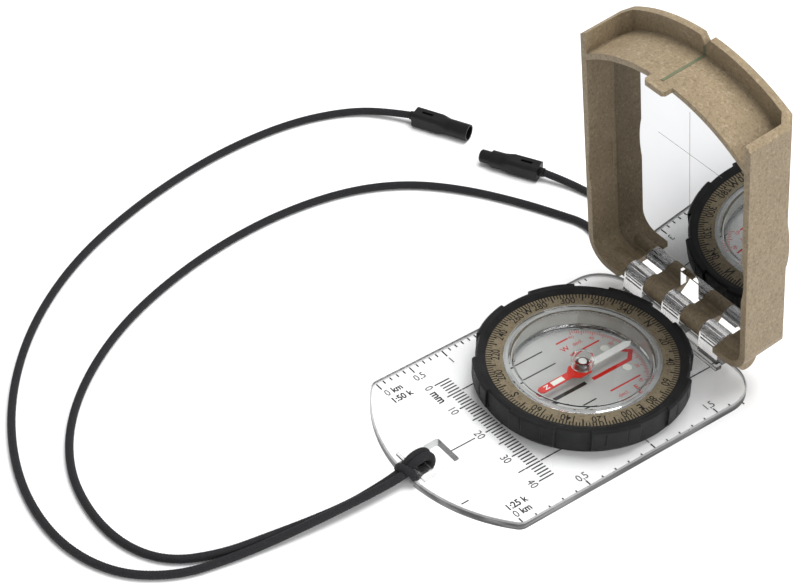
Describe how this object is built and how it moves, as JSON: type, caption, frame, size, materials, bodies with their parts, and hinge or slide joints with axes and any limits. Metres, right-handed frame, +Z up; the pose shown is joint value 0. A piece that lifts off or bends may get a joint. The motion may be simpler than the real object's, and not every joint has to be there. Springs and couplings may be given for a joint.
{
  "type": "baseplate compass",
  "caption": "Clear baseplate compass with a turning graduated dial, a hinged mirror sighting lid and a neck lanyard.",
  "frame": {"origin": "on the resting plane, straight below the needle's pivot", "axes": "+X to the plate's right edge, +Y to the hinge, +Z up"},
  "size_m": [0.1594, 0.1854, 0.0902],
  "materials": {
    "clear_acrylic": "polished clear",
    "spring_steel": "bright",
    "pin_steel": "bright",
    "lanyard_cord": "round knitted cord",
    "connector_plastic": "satin moulded",
    "tan_composite": "speckled wood-fibre plastic",
    "mirror": "silvered",
    "tape": "matt",
    "sight_green": "matt",
    "grip_black": "satin",
    "tan_dial": "satin",
    "collar_grey": "satin translucent",
    "clear_capsule": "polished clear",
    "seal_rubber": "matt",
    "disc_grey": "satin",
    "luminous": "matt pale green-white",
    "needle_paint": "gloss red and white",
    "hub_steel": "dark turned",
    "sapphire": "polished",
    "white_plastic": "gloss"
  },
  "bodies": {
    "baseplate": {"base_plate": "clear_acrylic", "dial_snap_ring": "spring_steel", "hinge_pin": "pin_steel", "lanyard_hitch": "lanyard_cord", "lanyard_outer": "lanyard_cord", "lanyard_inner": "lanyard_cord", "socket_connector": "connector_plastic", "plug_connector": "connector_plastic", "cord_ferrules": "connector_plastic"},
    "lid": {"lid_shell": "tan_composite", "mirror": "mirror", "mirror_tape": "tape", "sight_line": "sight_green"},
    "dial": {"bezel_grip": "grip_black", "graduation_ring": "tan_dial", "dial_collar": "collar_grey", "capsule_base": "clear_capsule", "capsule_seal": "seal_rubber", "capsule_cover": "clear_capsule", "orienting_disc": "disc_grey", "luminous_dots": "luminous", "pivot_pin": "pin_steel"},
    "needle": {"needle_blade": "needle_paint", "needle_hub": "hub_steel", "jewel_bearing": "sapphire", "hub_cap": "white_plastic", "needle_luminous_bar": "luminous"}
  },
  "joints": [
    {"name": "lid_hinge", "type": "hinge", "parent": "baseplate", "child": "lid", "pos_m": [0, 0.0311, 0.0093], "axis": [-1, 0, 0], "range_deg": [-83.5, 91.5]},
    {"name": "dial_turn", "type": "hinge", "parent": "baseplate", "child": "dial", "pos_m": [0, 0, 0.005], "axis": [0, 0, 1], "continuous": true},
    {"name": "needle_swing", "type": "hinge", "parent": "dial", "child": "needle", "pos_m": [0, 0, 0.005], "axis": [0, 0, 1], "continuous": true}
  ]
}
